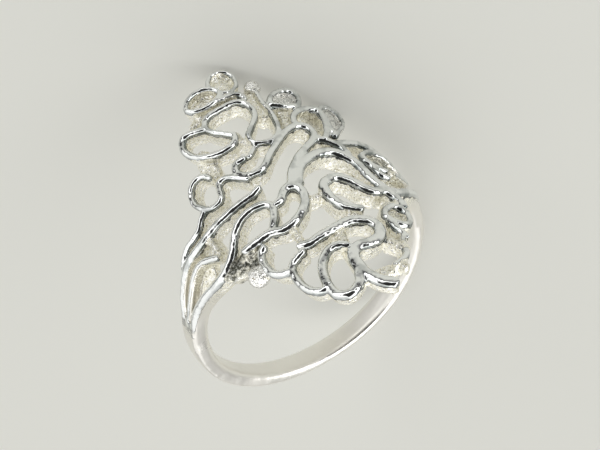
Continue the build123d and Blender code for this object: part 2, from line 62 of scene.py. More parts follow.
# The ring's own axes, from the finger hole: finger runs along the hole towards
# the head's front tip, head points out through the middle of the head
HOLE = frame["record"]["mounts"][0]
CENTRE = Vector(HOLE["pos_m"])
FINGER = Vector(HOLE["axis"]).normalized()
HEAD = Vector((0.0, FINGER.z, -FINGER.y)).normalized()
SIDE = HEAD.cross(FINGER)
MM = 0.001

# Sizes in millimetres, as in the solid. Angles are in degrees from the middle of the head.
BORE_RADIUS = HOLE["dims"]["r_mm"]
HEAD_THICKNESS = 1.8
CREST_RADIUS = BORE_RADIUS + HEAD_THICKNESS
SHANK_WIDTH = 1.8
SHANK_THICKNESS = 0.9
SHANK_RIM = 0.45
LEFT_SHANK_THICKNESS = 1.3
LEFT_SHANK_RIM = 1.05
GROWTH_START = 165.0
GROWTH_END = 245.0
SHOULDER_END = 94.0
HEAD_REACH = 12.0
HEAD_SPAN = 80.0
HEAD_SLOPE_START = 46.0
HEAD_SLOPE_END = 80.0
FRONT_LIFT = 0.55
LIFT_START = 7.0
LIFT_END = 10.5
STRAND_WIDTH = 0.74
DROP_RADIUS = 0.82

# How a strand is rounded: where its crest begins, as a share of its height, and
# how its round end closes, in steps of the end's half width
STRAND_RIM_SHARE = 0.8
WEB_RIM_SHARE = 0.7
END_STEPS = (0.55, 0.88, 0.985)

# The band runs on under the shoulders for so many degrees, and narrows over so many to a
# share of its width
BAND_OVERLAP = 16.0
BAND_NARROWING = 24.0
BAND_END_SHARE = 0.78
BAND_POINTS = 60

# Hand work in the casting: how uneven the strands' width is, and in how many changes per
# millimetre. A drop's middle lies so many of its radii below the height stated for it.
UNEVENNESS = 0.06
UNEVENNESS_SCALE = 0.9
DROP_SINKING = 1.15

# Fineness of the finished casting
SAMPLE_STEP = 0.1
PROFILE_POINTS = 20
DROP_SUBDIVISIONS = 4
VOXEL = 0.075
MELT_SOFTNESS = 0.5
MELT_ROUNDS = 5
TRIANGLE_LIMIT = 185000

# Webs whose rough metal is stained, darkly or faintly, and those where it is white and sparkling
STAINED = ("drop seat", "seat foot")
FAINTLY_STAINED = ("right leaf floor",)
FAINT_STAIN = 0.9
FROSTED = ("right cup floor", "bright leaf floor")

# Each strand runs through points (round, along the finger) given as shares of
# HEAD_SPAN and HEAD_REACH. start and end are its width there, as shares of
# STRAND_WIDTH, and height is its share of HEAD_THICKNESS.
Strand = namedtuple("Strand", "name start end height closed points")

STRANDS = [
    Strand("keyhole", 0.70, 0.70, 1.0, False, [
        (-0.062, -0.556), (-0.133, -0.655), (-0.146, -0.705), (-0.128, -0.757), (-0.085, -0.775),
        (-0.020, -0.774), (0.045, -0.772), (0.085, -0.748), (0.103, -0.700), (0.106, -0.645),
        (0.085, -0.595), (0.040, -0.545), (0.005, -0.505)]),
    Strand("pouch", 0.62, 0.62, 0.95, False, [
        (0.005, -0.508), (-0.006, -0.460), (0.014, -0.414), (0.062, -0.391), (0.112, -0.403),
        (0.152, -0.450), (0.174, -0.526), (0.180, -0.606), (0.176, -0.676), (0.192, -0.826)]),
    Strand("tip cup", 0.64, 0.64, 1.0, True, [
        (-0.165, -0.905), (-0.140, -0.950), (-0.085, -0.974), (-0.030, -0.965), (0.010, -0.930),
        (0.022, -0.882), (-0.020, -0.845), (-0.085, -0.838), (-0.140, -0.862)]),
    Strand("rear cup", 0.54, 0.54, 0.95, True, [
        (0.030, -0.890), (0.005, -0.940), (0.006, -0.992), (0.035, -1.030), (0.080, -1.040),
        (0.122, -1.018), (0.141, -0.962), (0.122, -0.892), (0.078, -0.862)]),
    Strand("tip bar", 0.68, 0.68, 0.95, False, [
        (-0.010, -0.840), (0.040, -0.837), (0.085, -0.830), (0.112, -0.805), (0.113, -0.770)]),
    Strand("teardrop", 0.76, 0.76, 1.0, False, [
        (-0.163, -0.712), (-0.245, -0.755), (-0.283, -0.740), (-0.303, -0.695), (-0.298, -0.640),
        (-0.273, -0.580), (-0.230, -0.533), (-0.175, -0.500), (-0.115, -0.490), (-0.070, -0.510),
        (-0.058, -0.545)]),
    Strand("left ring", 0.70, 0.70, 1.0, False, [
        (-0.290, -0.405), (-0.305, -0.440), (-0.345, -0.462), (-0.390, -0.448), (-0.420, -0.405),
        (-0.432, -0.350), (-0.415, -0.285), (-0.380, -0.235), (-0.335, -0.220), (-0.302, -0.240),
        (-0.288, -0.285), (-0.270, -0.325), (-0.238, -0.330), (-0.205, -0.305), (-0.145, -0.225)]),
    Strand("long hook", 0.78, 0.90, 1.0, False, [
        (-0.100, -0.362), (-0.140, -0.362), (-0.163, -0.330), (-0.160, -0.280), (-0.128, -0.238),
        (-0.080, -0.222), (-0.030, -0.240), (0.020, -0.290), (0.075, -0.335), (0.130, -0.378),
        (0.185, -0.415), (0.240, -0.430), (0.283, -0.412), (0.303, -0.370), (0.297, -0.320),
        (0.260, -0.275), (0.200, -0.235), (0.145, -0.197), (0.095, -0.150), (0.052, -0.100),
        (0.025, -0.050), (0.008, -0.020)]),
    Strand("hook link", 0.60, 0.60, 0.85, False, [
        (-0.095, -0.375), (-0.060, -0.368), (-0.025, -0.395), (0.005, -0.420)]),
    Strand("great arc", 1.05, 1.05, 1.0, False, [
        (0.050, -0.010), (0.070, -0.060), (0.110, -0.115), (0.170, -0.150), (0.250, -0.170),
        (0.320, -0.155), (0.370, -0.105), (0.402, -0.040), (0.413, 0.030), (0.418, 0.100),
        (0.432, 0.165), (0.460, 0.230)]),
    Strand("right curl", 0.66, 0.66, 1.0, False, [
        (0.475, -0.100), (0.468, -0.050), (0.485, 0.000), (0.490, 0.050), (0.497, 0.090),
        (0.530, 0.110)]),
    Strand("right leaf", 0.62, 0.62, 1.0, True, [
        (0.475, -0.085), (0.530, -0.135), (0.600, -0.145), (0.680, -0.110), (0.750, -0.050),
        (0.780, 0.010), (0.740, 0.055), (0.660, 0.062), (0.570, 0.050), (0.500, 0.000)]),
    Strand("right link", 0.80, 0.80, 0.95, False, [
        (0.302, -0.296), (0.337, -0.266), (0.372, -0.231), (0.397, -0.186), (0.405, -0.120)]),
    Strand("hairpin", 1.05, 1.05, 1.0, False, [
        (0.218, 0.345), (0.178, 0.318), (0.150, 0.270), (0.133, 0.200), (0.135, 0.130),
        (0.150, 0.075), (0.190, 0.052), (0.235, 0.053), (0.272, 0.085), (0.305, 0.140),
        (0.335, 0.200), (0.375, 0.232), (0.425, 0.232), (0.462, 0.270), (0.478, 0.330),
        (0.478, 0.370)]),
    Strand("right ring", 0.76, 0.76, 1.0, True, [
        (0.318, 0.470), (0.330, 0.420), (0.365, 0.390), (0.408, 0.382), (0.441, 0.410),
        (0.450, 0.460), (0.432, 0.520), (0.393, 0.550), (0.353, 0.530)]),
    Strand("side stalk", 0.80, 0.80, 1.0, False, [
        (0.318, 0.500), (0.320, 0.550), (0.330, 0.600), (0.335, 0.645)]),
    Strand("front rim", 0.72, 0.72, 0.95, False, [
        (0.325, 0.640), (0.290, 0.696), (0.279, 0.756), (0.252, 0.796), (0.212, 0.820),
        (0.175, 0.832)]),
    Strand("swan", 1.05, 1.40, 1.0, False, [
        (-0.145, 0.400), (-0.100, 0.418), (-0.040, 0.412), (0.040, 0.410), (0.120, 0.405),
        (0.180, 0.425), (0.220, 0.460), (0.238, 0.510), (0.225, 0.570), (0.185, 0.605),
        (0.130, 0.610), (0.080, 0.602), (0.040, 0.625), (0.020, 0.680), (0.016, 0.745),
        (0.020, 0.808), (0.040, 0.868), (0.068, 0.914), (0.098, 0.944)]),
    Strand("front loop", 0.90, 1.12, 1.0, False, [
        (0.030, 0.560), (0.005, 0.533), (-0.045, 0.528), (-0.095, 0.555), (-0.135, 0.610),
        (-0.157, 0.680), (-0.167, 0.750), (-0.160, 0.820), (-0.120, 0.868), (-0.070, 0.862),
        (-0.028, 0.830), (-0.005, 0.780)]),
    Strand("middle crescent", 0.86, 0.86, 1.0, False, [
        (-0.165, 0.440), (-0.205, 0.450), (-0.245, 0.475), (-0.265, 0.530), (-0.267, 0.600),
        (-0.255, 0.670), (-0.225, 0.725), (-0.190, 0.745), (-0.165, 0.740)]),
    Strand("left crescent", 0.86, 0.86, 1.0, False, [
        (-0.300, 0.245), (-0.325, 0.262), (-0.345, 0.310), (-0.350, 0.360), (-0.340, 0.420),
        (-0.310, 0.465), (-0.270, 0.490), (-0.262, 0.505)]),
    Strand("crook", 1.05, 0.95, 1.0, False, [
        (-0.370, 0.165), (-0.300, 0.177), (-0.240, 0.185), (-0.205, 0.203), (-0.170, 0.228),
        (-0.125, 0.232), (-0.070, 0.215), (-0.020, 0.178), (0.015, 0.130), (0.033, 0.070),
        (0.027, 0.020), (0.000, -0.017), (-0.040, -0.005), (-0.075, 0.035), (-0.100, 0.045)]),
    Strand("left front strand", 0.95, 0.85, 1.0, False, [
        (-1.240, 0.034), (-1.100, 0.036), (-0.960, 0.041), (-0.850, 0.058), (-0.720, 0.102),
        (-0.600, 0.145), (-0.522, 0.148), (-0.450, 0.113), (-0.400, 0.060), (-0.345, 0.002),
        (-0.280, -0.026), (-0.212, -0.024), (-0.160, 0.000), (-0.136, 0.045), (-0.156, 0.108),
        (-0.193, 0.160)]),
    Strand("left back strand", 0.90, 0.80, 1.0, False, [
        (-1.240, -0.036), (-1.120, -0.050), (-0.990, -0.068), (-0.875, -0.100), (-0.760, -0.120),
        (-0.660, -0.133), (-0.550, -0.123), (-0.420, -0.122), (-0.280, -0.115), (-0.190, -0.108),
        (-0.135, -0.118)]),
    Strand("left vein", 0.76, 0.76, 0.95, False, [
        (-0.960, -0.020), (-0.860, -0.022), (-0.790, -0.030), (-0.718, -0.045), (-0.648, -0.053),
        (-0.593, -0.035), (-0.548, 0.000), (-0.520, 0.030)]),
    Strand("left spur", 0.66, 0.66, 0.95, False, [
        (-0.758, -0.135), (-0.688, -0.180), (-0.618, -0.202), (-0.558, -0.198), (-0.498, -0.205),
        (-0.463, -0.235), (-0.420, -0.262)]),
    Strand("right cup", 0.66, 0.66, 1.0, True, [
        (0.210, -0.655), (0.235, -0.710), (0.290, -0.740), (0.345, -0.745), (0.378, -0.710),
        (0.375, -0.650), (0.338, -0.592), (0.290, -0.595), (0.240, -0.620)]),
    Strand("scoop", 0.76, 0.76, 1.0, False, [
        (0.250, -0.460), (0.268, -0.505), (0.305, -0.540), (0.370, -0.555), (0.425, -0.548),
        (0.440, -0.505), (0.425, -0.440), (0.400, -0.375), (0.375, -0.320), (0.345, -0.280)]),
    Strand("bright leaf", 0.58, 0.58, 0.95, True, [
        (0.452, -0.535), (0.490, -0.578), (0.542, -0.560), (0.565, -0.505), (0.552, -0.436),
        (0.512, -0.380), (0.462, -0.335), (0.417, -0.296), (0.432, -0.376), (0.449, -0.456)]),
    Strand("right back strand", 0.80, 1.00, 0.9, False, [
        (0.380, -0.235), (0.480, -0.240), (0.600, -0.225), (0.720, -0.165), (0.840, -0.085),
        (0.950, -0.048), (1.080, -0.040), (1.240, -0.030)]),
    Strand("right front strand", 1.00, 1.05, 1.0, False, [
        (0.450, 0.240), (0.550, 0.235), (0.680, 0.190), (0.820, 0.110), (0.940, 0.060),
        (1.080, 0.036), (1.240, 0.028)]),
]

# Webs, bridges and the floors of the cups: broad, low and matte
WEBS = [
    Strand("drop stem", 1.40, 1.40, 0.70, False, [(0.150, -0.63), (0.157, -0.73), (0.188, -0.84)]),
    Strand("tip web", 1.00, 1.00, 0.65, False, [(-0.190, -0.81), (-0.110, -0.83), (0.100, -0.84)]),
    Strand("left web", 2.10, 2.10, 0.60, False, [
        (-0.255, -0.57), (-0.265, -0.51), (-0.262, -0.46)]),
    Strand("neck", 0.90, 0.90, 0.80, False, [(-0.045, -0.56), (-0.040, -0.50), (-0.006, -0.46)]),
    Strand("cup stem", 1.60, 1.60, 0.70, False, [(0.278, -0.64), (0.258, -0.57), (0.228, -0.46)]),
    Strand("drop seat", 1.60, 1.60, 0.85, False, [(-0.520, 0.18), (-0.450, 0.20), (-0.365, 0.17)]),
    Strand("seat foot", 1.30, 1.30, 0.75, False, [(-0.408, 0.30), (-0.394, 0.24), (-0.325, 0.24)]),
    Strand("front bridge", 0.90, 0.90, 0.80, False, [
        (-0.130, 0.22), (-0.124, 0.29), (-0.140, 0.40)]),
    Strand("hairpin bridge", 0.70, 0.70, 0.80, False, [
        (0.035, 0.12), (0.075, 0.125), (0.120, 0.12)]),
    Strand("swan web", 1.30, 1.30, 0.75, False, [(0.058, 0.42), (0.038, 0.53), (0.028, 0.65)]),
    Strand("tail web", 1.30, 1.30, 0.65, False, [(0.080, 0.82), (0.150, 0.82), (0.225, 0.84)]),
    Strand("hairpin web", 1.60, 1.60, 0.75, False, [(0.178, 0.31), (0.182, 0.34), (0.178, 0.39)]),
    Strand("ring link", 0.80, 0.80, 0.85, False, [(0.352, 0.390), (0.385, 0.345), (0.455, 0.340)]),
    Strand("left bridge", 0.90, 0.90, 0.85, False, [
        (-0.500, -0.12), (-0.494, -0.05), (-0.505, 0.02)]),
    Strand("left shoulder floor", 2.90, 2.10, 0.45, False, [
        (-0.660, -0.03), (-0.85, -0.025), (-1.14, -0.012)]),
    Strand("right shoulder floor", 3.60, 2.10, 0.45, False, [
        (0.640, 0.015), (0.85, 0.010), (1.14, 0.000)]),
    Strand("front rim web", 1.00, 1.00, 0.80, False, [(0.335, 0.62), (0.294, 0.67), (0.258, 0.63)]),
    Strand("tip cup floor", 2.20, 2.20, 0.62, False, [
        (-0.110, -0.905), (-0.070, -0.907), (-0.030, -0.905)]),
    Strand("rear cup floor", 2.00, 2.00, 0.74, False, [
        (0.073, -0.980), (0.076, -0.940), (0.080, -0.900)]),
    Strand("right cup floor", 2.00, 2.00, 0.78, False, [
        (0.270, -0.670), (0.295, -0.672), (0.320, -0.670)]),
    Strand("scoop floor", 2.20, 2.20, 0.60, False, [
        (0.340, -0.490), (0.358, -0.440), (0.350, -0.380)]),
    Strand("bright leaf floor", 1.90, 1.30, 0.84, False, [
        (0.505, -0.500), (0.490, -0.430), (0.455, -0.360)]),
    Strand("right leaf floor", 2.40, 2.20, 0.80, False, [
        (0.550, -0.040), (0.630, -0.040), (0.710, -0.010)]),
    Strand("right ring floor", 2.00, 2.00, 0.78, False, [
        (0.368, 0.455), (0.383, 0.468), (0.390, 0.485)]),
]

# Cast drops: round, along the finger, radius as a share of DROP_RADIUS, height
# as a share of HEAD_THICKNESS
Drop = namedtuple("Drop", "name round along size height")
DROPS = [
    Drop("left drop", -0.415, 0.335, 1.00, 1.10),
    Drop("back drop", 0.200, -0.850, 0.76, 1.05),
    Drop("side drop one", 0.252, 0.645, 0.45, 0.90),
    Drop("side drop two", 0.270, 0.700, 0.50, 1.00),
    Drop("side drop three", 0.295, 0.720, 0.45, 0.95),
    Drop("rim drop", 0.215, 0.862, 0.50, 0.95),
    Drop("shoulder drop", 0.515, 0.200, 0.60, 0.90),
    Drop("leaf drop one", 0.570, 0.072, 0.30, 1.05),
    Drop("leaf drop two", 0.600, 0.060, 0.26, 1.05),
]


def smooth_step(low, high, value):
    share = np.clip((value - low) / (high - low), 0.0, 1.0)
    return share * share * (3.0 - 2.0 * share)


def shank_sizes(angle):
    """The plain band's thickness and rim, at an angle from the head round to the right."""
    share = smooth_step(GROWTH_START, GROWTH_END, np.mod(angle, 360.0))
    thickness = SHANK_THICKNESS + (LEFT_SHANK_THICKNESS - SHANK_THICKNESS) * share
    return thickness, SHANK_RIM + (LEFT_SHANK_RIM - SHANK_RIM) * share


def crest_height(along):
    """Height of a full strand: the head's depth, easing to the band's down the shoulders."""
    angle = np.degrees(along / CREST_RADIUS)
    thickness = shank_sizes(angle)[0]
    rise = 1.0 - smooth_step(HEAD_SLOPE_START, HEAD_SLOPE_END, np.abs(angle))
    return thickness + (HEAD_THICKNESS - thickness) * rise


def foot_height(across):
    """How far the walls' feet stand off the finger hole's surface, towards the front tip."""
    return FRONT_LIFT * smooth_step(LIFT_START, LIFT_END, across)


def along_of(degrees):
    """Distance from the head's middle along the unrolled casting."""
    return CREST_RADIUS * np.radians(degrees)


def new_object(name, data):
    made = bpy.data.objects.new(name, data)
    bpy.context.scene.collection.objects.link(made)
    return made


# Centrelines: every path of the casting, unrolled flat, with its sizes at each point
class Lines:
    """Polylines in one mesh, whose points carry half width and top, rim and foot height."""

    def __init__(self):
        self.points = []
        self.edges = []
        self.half_width = []
        self.top = []
        self.rim = []
        self.foot = []

    def add(self, points, half_width, top, rim, closed=False):
        first = len(self.points)
        count = len(points)
        self.points += [(x, y, 0.0) for x, y in points]
        self.edges += [(first + i, first + i + 1) for i in range(count - 1)]
        if closed:
            self.edges.append((first + count - 1, first))
        self.half_width += list(half_width)
        self.top += list(top)
        self.rim += list(rim)
        self.foot += [foot_height(y) for _, y in points]

    def to_object(self, name):
        mesh = bpy.data.meshes.new(name)
        mesh.from_pydata(self.points, self.edges, [])
        for label in ("half_width", "top", "rim", "foot"):
            keep_numbers(mesh, label, np.array(getattr(self, label)))
        return new_object(name, mesh)


def keep_numbers(mesh, label, numbers):
    """Keeps one number for each point of a mesh, under a name."""
    layer = mesh.attributes.new(label, "FLOAT", "POINT")
    layer.data.foreach_set("value", numbers.astype(np.float32))


def rounded_ends(points, width):
    """Runs an open strand on past both its ends, where its width closes to a round end."""
    ends = []
    for tip, inner, reach in ((points[0], points[1], width[0]), (points[-1], points[-2], width[-1])):
        way = (tip - inner) / (np.linalg.norm(tip - inner) + 1e-9)
        ends.append([(tip + way * reach * step, reach * math.sqrt(1.0 - step * step))
                     for step in END_STEPS])
    before, after = ends[0][::-1], ends[1]
    points = np.array([p for p, _ in before] + list(points) + [p for p, _ in after])
    width = np.array([w for _, w in before] + list(width) + [w for _, w in after])
    return points, width


def flat_points(places):
    """Places given as shares of the head's span and reach, on the unrolled casting."""
    return np.array(places) * (along_of(HEAD_SPAN), HEAD_REACH)


def add_strand(lines, strand, rim_share):
    points = flat_points(strand.points)
    share = np.linspace(0.0, 1.0, len(points))
    width = (strand.start + (strand.end - strand.start) * share) * STRAND_WIDTH / 2
    if not strand.closed:
        points, width = rounded_ends(points, width)
    top = strand.height * crest_height(points[:, 0])
    lines.add(points, width, top, rim_share * top, strand.closed)


def add_band(lines):
    """The plain band, from shoulder to shoulder, where it narrows into the strands."""
    start = SHOULDER_END - BAND_OVERLAP
    angles = np.linspace(start, 360.0 - start, BAND_POINTS)
    points = np.column_stack([along_of(angles), np.zeros(BAND_POINTS)])
    thickness, rim = shank_sizes(angles)
    from_end = np.minimum(angles - angles[0], angles[-1] - angles)
    share = BAND_END_SHARE + (1.0 - BAND_END_SHARE) * smooth_step(0.0, BAND_NARROWING, from_end)
    lines.add(points, share * SHANK_WIDTH / 2, thickness, rim)


# Node trees
class Tree:
    """A geometry or shader tree with short ways to add and join nodes."""

    def __init__(self, tree):
        self.tree = tree

    def node(self, kind, inputs=None, **settings):
        made = self.tree.nodes.new(kind)
        for key, value in settings.items():
            setattr(made, key, value)
        for key, value in (inputs or {}).items():
            self.feed(made.inputs[key], value)
        return made

    def feed(self, socket, value):
        if isinstance(value, bpy.types.NodeSocket):
            self.tree.links.new(value, socket)
        elif isinstance(value, bpy.types.Node):
            self.tree.links.new(value.outputs[0], socket)
        else:
            socket.default_value = value

    def math(self, operation, first, second=0.0, third=0.0):
        kind = "ShaderNodeMath"
        return self.node(kind, {0: first, 1: second, 2: third}, operation=operation).outputs[0]

    def facing(self, way, other):
        """How far one direction lies along another."""
        product = self.node("ShaderNodeVectorMath", {0: way, 1: other}, operation="DOT_PRODUCT")
        return product.outputs["Value"]

    def blend(self, mask, first, second):
        """A number between two numbers."""
        return self.node("ShaderNodeMix", {0: mask, 2: first, 3: second}).outputs[0]

    def mix(self, mask, first, second):
        """A colour between two colours."""
        colours = {0: mask, 6: first, 7: second}
        return self.node("ShaderNodeMix", colours, data_type="RGBA").outputs[2]

    def ramp(self, value, edges, ends=(0.0, 1.0), ease="LINEAR"):
        """A number that runs from one end to the other while value passes two edges."""
        numbers = {0: value, 1: edges[0], 2: edges[1], 3: ends[0], 4: ends[1]}
        return self.node("ShaderNodeMapRange", numbers, interpolation_type=ease).outputs[0]

    def store(self, geometry, label, value):
        """Keeps a vector for each point, under a name."""
        stored = {"Geometry": geometry, "Name": label, "Value": value}
        return self.node("GeometryNodeStoreNamedAttribute", stored,
                         data_type="FLOAT_VECTOR", domain="POINT")

    def named(self, label, kind="FLOAT"):
        made = self.node("GeometryNodeInputNamedAttribute", {"Name": label}, data_type=kind)
        return made.outputs[0]


def geometry_tree(name, sizes):
    """A geometry tree with one geometry input and output and a named number for each size."""
    group = bpy.data.node_groups.new(name, "GeometryNodeTree")
    group.interface.new_socket("Geometry", in_out="INPUT", socket_type="NodeSocketGeometry")
    group.interface.new_socket("Geometry", in_out="OUTPUT", socket_type="NodeSocketGeometry")
    for label, value in sizes.items():
        socket = group.interface.new_socket(label, in_out="INPUT", socket_type="NodeSocketFloat")
        socket.default_value = value
    tree = Tree(group)
    tree.start = tree.node("NodeGroupInput")
    tree.stop = tree.node("NodeGroupOutput")
    return tree


def rolled_up(tree, flat, height):
    """Bends a place on the flat, unrolled casting round the finger hole."""
    parts = tree.node("ShaderNodeSeparateXYZ", {0: flat})
    angle = tree.math("DIVIDE", parts.outputs[0], tree.start.outputs["Unrolled radius"])
    radius = tree.math("ADD", height, tree.start.outputs["Hole radius"])
    across = tree.math("MULTIPLY", radius, tree.math("SINE", angle))
    up = tree.math("MULTIPLY", radius, tree.math("COSINE", angle))
    return tree.node("ShaderNodeCombineXYZ", {0: across, 1: up, 2: parts.outputs[1]}).outputs[0]


def finish_tree(tree, geometry, material):
    real = tree.node("GeometryNodeRealizeInstances", {"Geometry": geometry})
    coated = tree.node("GeometryNodeSetMaterial", {"Geometry": real, "Material": material})
    tree.feed(tree.stop.inputs[0], coated)
    return tree.tree


def strand_tree(material):
    """Sweeps a wall with a rounded crest along every line, then rolls it round the finger."""
    tree = geometry_tree("Cast strands", {
        "Sample step": SAMPLE_STEP, "Profile points": PROFILE_POINTS, "Hole radius": BORE_RADIUS,
        "Unrolled radius": CREST_RADIUS, "Unevenness": UNEVENNESS,
        "Unevenness scale": UNEVENNESS_SCALE})
    size = tree.start.outputs
    curve = tree.node("GeometryNodeMeshToCurve", {"Mesh": size["Geometry"]})
    curve = tree.node("GeometryNodeCurveSplineType", {"Curve": curve}, spline_type="CATMULL_ROM")
    curve = tree.node("GeometryNodeResampleCurve", {"Curve": curve, "Length": size["Sample step"]},
                      mode="LENGTH")
    place = tree.node("GeometryNodeInputPosition")
    curve = tree.store(curve, "centre", place)
    curve = tree.store(curve, "heading", tree.node("GeometryNodeInputTangent"))
    circle = tree.node("GeometryNodeCurvePrimitiveCircle",
                       {"Resolution": size["Profile points"], "Radius": 1.0})
    profile = tree.store(circle, "profile", place)
    swept = tree.node("GeometryNodeCurveToMesh",
                      {"Curve": curve, "Profile Curve": profile, "Fill Caps": True})

    # The profile is a circle: its upper half becomes the crest, its lower half a wall with
    # nearly square feet
    section = tree.node("ShaderNodeSeparateXYZ", {0: tree.named("profile", "FLOAT_VECTOR")})
    side, lift = section.outputs[0], section.outputs[1]
    crest = tree.math("GREATER_THAN", lift, 0.0)
    blunt = tree.math("MULTIPLY", tree.math("SIGN", side),
                      tree.math("SQRT", tree.math("ABSOLUTE", side)))
    depth = tree.math("SQRT", tree.math("ABSOLUTE", lift))
    share = tree.blend(crest, blunt, side)
    top, rim, foot = tree.named("top"), tree.named("rim"), tree.named("foot")
    above = tree.math("MULTIPLY_ADD", tree.math("SUBTRACT", top, rim), lift, rim)
    below = tree.math("MULTIPLY_ADD", tree.math("SUBTRACT", foot, rim), depth, rim)
    height = tree.blend(crest, below, above)

    centre = tree.named("centre", "FLOAT_VECTOR")
    noise = tree.node("ShaderNodeTexNoise", {"Vector": centre, "Scale": size["Unevenness scale"]})
    wobble = tree.math("SUBTRACT", noise.outputs[0], 0.5)
    wobble = tree.math("MULTIPLY_ADD", wobble, size["Unevenness"], 1.0)
    heading = tree.node("ShaderNodeSeparateXYZ", {0: tree.named("heading", "FLOAT_VECTOR")})
    back = tree.math("MULTIPLY", heading.outputs[1], -1.0)
    normal = tree.node("ShaderNodeCombineXYZ", {0: back, 1: heading.outputs[0]})
    reach = tree.math("MULTIPLY", tree.math("MULTIPLY", share, tree.named("half_width")), wobble)
    offset = tree.node("ShaderNodeVectorMath", {0: normal, "Scale": reach}, operation="SCALE")
    flat = tree.node("ShaderNodeVectorMath", {0: centre, 1: offset}, operation="ADD")
    moved = tree.node("GeometryNodeSetPosition",
                      {"Geometry": swept, "Position": rolled_up(tree, flat, height)})
    return finish_tree(tree, moved, material)


def drop_tree(material):
    """Puts a round drop of metal at every point, sunk a little below the point's height."""
    tree = geometry_tree("Cast drops", {
        "Hole radius": BORE_RADIUS, "Unrolled radius": CREST_RADIUS, "Sinking": DROP_SINKING})
    size = tree.start.outputs
    radius = tree.named("half_width")
    sunk = tree.math("MULTIPLY", radius, size["Sinking"])
    height = tree.math("SUBTRACT", tree.named("top"), sunk)
    place = tree.node("GeometryNodeInputPosition")
    points = tree.node("GeometryNodeMeshToPoints", {"Mesh": size["Geometry"]})
    points = tree.node("GeometryNodeSetPosition",
                       {"Geometry": points, "Position": rolled_up(tree, place, height)})
    ball = tree.node("GeometryNodeMeshIcoSphere",
                     {"Radius": 1.0, "Subdivisions": DROP_SUBDIVISIONS})
    scale = tree.node("ShaderNodeCombineXYZ", {0: radius, 1: radius, 2: radius})
    placed = tree.node("GeometryNodeInstanceOnPoints",
                       {"Points": points, "Instance": ball, "Scale": scale})
    return finish_tree(tree, placed, material)


def finished_mesh(made):
    """What an object's modifiers make of it, as a plain mesh."""
    seen = made.evaluated_get(bpy.context.evaluated_depsgraph_get())
    return bpy.data.meshes.new_from_object(seen)


def with_modifier(made, group):
    """The object's mesh after a geometry tree. The object itself goes."""
    step = made.modifiers.new("shape", "NODES")
    step.node_group = group
    mesh = finished_mesh(made)
    made.modifiers.remove(step)
    bpy.data.objects.remove(made)
    return mesh


def apply_all(made):
    """Replaces the object's mesh by what its modifiers make of it."""
    mesh = finished_mesh(made)
    old = made.data
    made.modifiers.clear()
    made.data = mesh
    bpy.data.meshes.remove(old)


def melted(meshes, name):
    """Melts overlapping closed meshes into one skin with soft inner corners."""
    joined = bmesh.new()
    for mesh in meshes:
        joined.from_mesh(mesh)
    whole = bpy.data.meshes.new(name)
    joined.to_mesh(whole)
    joined.free()
    made = new_object(name, whole)
    skin = made.modifiers.new("melt", "REMESH")
    skin.mode = "VOXEL"
    skin.voxel_size = VOXEL
    soften = made.modifiers.new("soften", "SMOOTH")
    soften.factor = MELT_SOFTNESS
    soften.iterations = MELT_ROUNDS
    apply_all(made)
    count = sum(len(face.vertices) - 2 for face in made.data.polygons)
    if count > TRIANGLE_LIMIT:
        thin = made.modifiers.new("thin", "DECIMATE")
        thin.ratio = TRIANGLE_LIMIT / count
        apply_all(made)
    return made


# Where each finish begins and ends. Outward is how far the metal faces away from the
# finger hole, rise is its share of the height from the hole to the crests, angles are in
# degrees from the middle of the head, and what lies near a web or drop is measured in
# the web's half width or the drop's radius.
CREST_OUTWARD = (-0.3, 0.5)
CREST_RISE = (0.54, 0.74)
WEB_CREST_RISE = (0.86, 0.94)
WEB_EDGE = (0.8, 1.3)
HOLE_INWARD = (0.5, 0.9)
BAND_ANGLES = (68.0, SHOULDER_END)
SHOULDER_FRONTWARD = (0.2, 0.6)
SHOULDER_ANGLES = (50.0, 64.0)
# Where the painted shade on the walls' sideways-facing flanks fades out, by how far a wall faces
# outward and by angle
FLANK_OUTWARD = (0.35, 0.85)
FLANK_ANGLES = (40.0, 75.0)
POLISH_LOST_TO_STAIN = 0.8
POLISH_ON_DROPS = 0.2
DROP_EDGE = (0.9, 1.25)
DROP_CLEAN_EDGE = (0.95, 1.15)
DROP_FROST_EDGE = (1.0, 1.2)
FROSTED_DROP_SIZE = 0.7


def close_to(along, across, strands):
    """How close points on the unrolled casting are to some strands: 1 within their width."""
    near = np.zeros(len(along))
    for strand in strands:
        points = flat_points(strand.points)
        half = strand.start * STRAND_WIDTH / 2
        for first, second in zip(points[:-1], points[1:]):
            way = second - first
            share = ((along - first[0]) * way[0] + (across - first[1]) * way[1]) / way.dot(way)
            share = np.clip(share, 0.0, 1.0)
            away = np.hypot(along - first[0] - share * way[0], across - first[1] - share * way[1])
            near = np.maximum(near, 1.0 - smooth_step(*WEB_EDGE, away / half))
    return near


def vertex_vectors(mesh, label):
    """The place or the normal of every point, one row each."""
    found = np.empty(len(mesh.vertices) * 3)
    mesh.vertices.foreach_get(label, found)
    return found.reshape(-1, 3)


